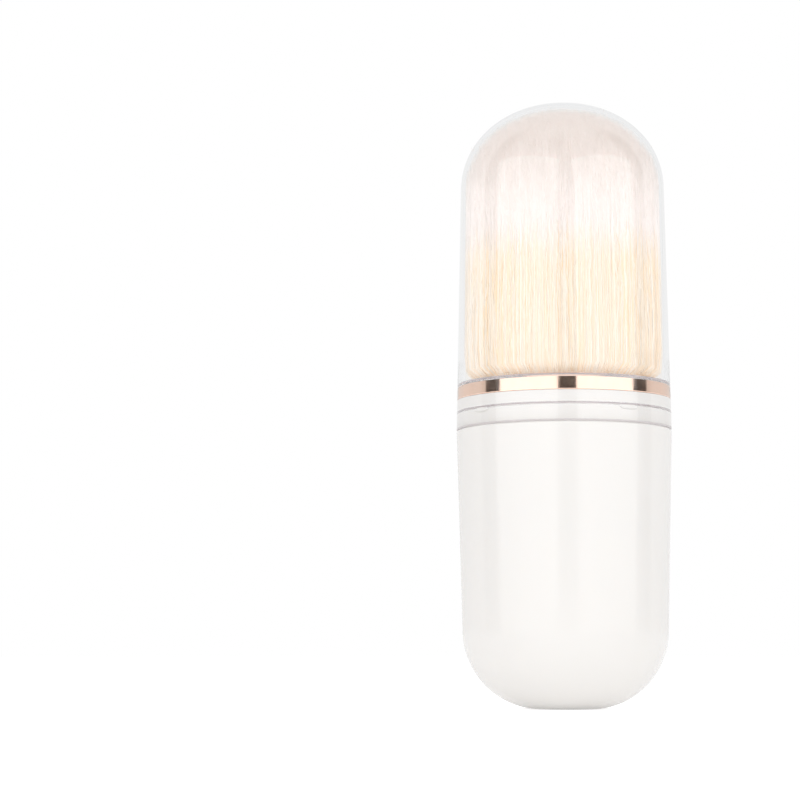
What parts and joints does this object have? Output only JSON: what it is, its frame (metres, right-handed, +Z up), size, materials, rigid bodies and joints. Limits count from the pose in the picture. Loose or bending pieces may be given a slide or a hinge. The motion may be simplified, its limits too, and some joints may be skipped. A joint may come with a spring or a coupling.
{
  "type": "capped powder brush",
  "caption": "Round powder brush on a white capsule handle with a metal ferrule ring and a clear domed push-on cap that gathers the hair.",
  "frame": {"origin": "middle of the handle's foot, on the surface that the closed brush stands on", "axes": "+Z up along the brush, from the handle's foot to the cap's dome"},
  "size_m": [0.037, 0.037, 0.1048],
  "materials": {
    "white_gloss": "white injection-moulded ABS, polished",
    "steel": "plain turned steel",
    "rose_gold": "polished rose gold plating",
    "drawn_aluminium": "drawn, unpolished",
    "glue": "set epoxy",
    "hair": "soft synthetic hair, cream at the root and near white at the tip",
    "clear_plastic": "clear injection-moulded plastic"
  },
  "bodies": {
    "handle": {"handle_shell": "white_gloss", "ballast_slug": "steel", "neck_sleeve": "white_gloss", "ferrule_ring": "rose_gold", "ferrule_cup": "drawn_aluminium", "glue_plug": "glue", "hair_core": "hair"},
    "cap": {"clear_cap": "clear_plastic"},
    "lock_01": {"hair_lock_01": "hair"},
    "lock_02": {"hair_lock_02": "hair"},
    "lock_03": {"hair_lock_03": "hair"},
    "lock_04": {"hair_lock_04": "hair"},
    "lock_05": {"hair_lock_05": "hair"},
    "lock_06": {"hair_lock_06": "hair"},
    "lock_07": {"hair_lock_07": "hair"},
    "lock_08": {"hair_lock_08": "hair"},
    "lock_09": {"hair_lock_09": "hair"},
    "lock_10": {"hair_lock_10": "hair"},
    "lock_11": {"hair_lock_11": "hair"},
    "lock_12": {"hair_lock_12": "hair"},
    "lock_13": {"hair_lock_13": "hair"},
    "lock_14": {"hair_lock_14": "hair"},
    "lock_15": {"hair_lock_15": "hair"},
    "lock_16": {"hair_lock_16": "hair"}
  },
  "joints": [
    {"name": "cap_slide", "type": "slide", "parent": "handle", "child": "cap", "axis": [0, 0, 1], "range_m": [0, 0.065], "deforming": ["hair_lock_01", "hair_lock_02", "hair_lock_03", "hair_lock_04", "hair_lock_05", "hair_lock_06", "hair_lock_07", "hair_lock_08", "hair_lock_09", "hair_lock_10", "hair_lock_11", "hair_lock_12", "hair_lock_13", "hair_lock_14", "hair_lock_15", "hair_lock_16"]},
    {"name": "lock_01_flare", "type": "hinge", "parent": "handle", "child": "lock_01", "pos_m": [0.01469, 0.00292, 0.056], "axis": [-0.1951, 0.9808, 0], "range_deg": [0, 21.5], "deforming": ["hair_lock_01"]},
    {"name": "lock_02_flare", "type": "hinge", "parent": "handle", "child": "lock_02", "pos_m": [0.01246, 0.00832, 0.056], "axis": [-0.5556, 0.8315, 0], "range_deg": [0, 21.5], "deforming": ["hair_lock_02"]},
    {"name": "lock_03_flare", "type": "hinge", "parent": "handle", "child": "lock_03", "pos_m": [0.00832, 0.01246, 0.056], "axis": [-0.8315, 0.5556, 0], "range_deg": [0, 21.5], "deforming": ["hair_lock_03"]},
    {"name": "lock_04_flare", "type": "hinge", "parent": "handle", "child": "lock_04", "pos_m": [0.00292, 0.01469, 0.056], "axis": [-0.9808, 0.1951, 0], "range_deg": [0, 21.5], "deforming": ["hair_lock_04"]},
    {"name": "lock_05_flare", "type": "hinge", "parent": "handle", "child": "lock_05", "pos_m": [-0.00292, 0.01469, 0.056], "axis": [-0.9808, -0.1951, 0], "range_deg": [0, 21.5], "deforming": ["hair_lock_05"]},
    {"name": "lock_06_flare", "type": "hinge", "parent": "handle", "child": "lock_06", "pos_m": [-0.00832, 0.01246, 0.056], "axis": [-0.8315, -0.5556, 0], "range_deg": [0, 21.5], "deforming": ["hair_lock_06"]},
    {"name": "lock_07_flare", "type": "hinge", "parent": "handle", "child": "lock_07", "pos_m": [-0.01246, 0.00832, 0.056], "axis": [-0.5556, -0.8315, 0], "range_deg": [0, 21.5], "deforming": ["hair_lock_07"]},
    {"name": "lock_08_flare", "type": "hinge", "parent": "handle", "child": "lock_08", "pos_m": [-0.01469, 0.00292, 0.056], "axis": [-0.1951, -0.9808, 0], "range_deg": [0, 21.5], "deforming": ["hair_lock_08"]},
    {"name": "lock_09_flare", "type": "hinge", "parent": "handle", "child": "lock_09", "pos_m": [-0.01469, -0.00292, 0.056], "axis": [0.1951, -0.9808, 0], "range_deg": [0, 21.5], "deforming": ["hair_lock_09"]},
    {"name": "lock_10_flare", "type": "hinge", "parent": "handle", "child": "lock_10", "pos_m": [-0.01246, -0.00832, 0.056], "axis": [0.5556, -0.8315, 0], "range_deg": [0, 21.5], "deforming": ["hair_lock_10"]},
    {"name": "lock_11_flare", "type": "hinge", "parent": "handle", "child": "lock_11", "pos_m": [-0.00832, -0.01246, 0.056], "axis": [0.8315, -0.5556, 0], "range_deg": [0, 21.5], "deforming": ["hair_lock_11"]},
    {"name": "lock_12_flare", "type": "hinge", "parent": "handle", "child": "lock_12", "pos_m": [-0.00292, -0.01469, 0.056], "axis": [0.9808, -0.1951, 0], "range_deg": [0, 21.5], "deforming": ["hair_lock_12"]},
    {"name": "lock_13_flare", "type": "hinge", "parent": "handle", "child": "lock_13", "pos_m": [0.00292, -0.01469, 0.056], "axis": [0.9808, 0.1951, 0], "range_deg": [0, 21.5], "deforming": ["hair_lock_13"]},
    {"name": "lock_14_flare", "type": "hinge", "parent": "handle", "child": "lock_14", "pos_m": [0.00832, -0.01246, 0.056], "axis": [0.8315, 0.5556, 0], "range_deg": [0, 21.5], "deforming": ["hair_lock_14"]},
    {"name": "lock_15_flare", "type": "hinge", "parent": "handle", "child": "lock_15", "pos_m": [0.01246, -0.00832, 0.056], "axis": [0.5556, 0.8315, 0], "range_deg": [0, 21.5], "deforming": ["hair_lock_15"]},
    {"name": "lock_16_flare", "type": "hinge", "parent": "handle", "child": "lock_16", "pos_m": [0.01469, -0.00292, 0.056], "axis": [0.1951, 0.9808, 0], "range_deg": [0, 21.5], "deforming": ["hair_lock_16"]}
  ],
  "couplings": [
    {"joint": "lock_01_flare", "follows": "cap_slide", "rad_per_m": 5.72},
    {"joint": "lock_02_flare", "follows": "cap_slide", "rad_per_m": 5.72},
    {"joint": "lock_03_flare", "follows": "cap_slide", "rad_per_m": 5.72},
    {"joint": "lock_04_flare", "follows": "cap_slide", "rad_per_m": 5.72},
    {"joint": "lock_05_flare", "follows": "cap_slide", "rad_per_m": 5.72},
    {"joint": "lock_06_flare", "follows": "cap_slide", "rad_per_m": 5.72},
    {"joint": "lock_07_flare", "follows": "cap_slide", "rad_per_m": 5.72},
    {"joint": "lock_08_flare", "follows": "cap_slide", "rad_per_m": 5.72},
    {"joint": "lock_09_flare", "follows": "cap_slide", "rad_per_m": 5.72},
    {"joint": "lock_10_flare", "follows": "cap_slide", "rad_per_m": 5.72},
    {"joint": "lock_11_flare", "follows": "cap_slide", "rad_per_m": 5.72},
    {"joint": "lock_12_flare", "follows": "cap_slide", "rad_per_m": 5.72},
    {"joint": "lock_13_flare", "follows": "cap_slide", "rad_per_m": 5.72},
    {"joint": "lock_14_flare", "follows": "cap_slide", "rad_per_m": 5.72},
    {"joint": "lock_15_flare", "follows": "cap_slide", "rad_per_m": 5.72},
    {"joint": "lock_16_flare", "follows": "cap_slide", "rad_per_m": 5.72}
  ]
}
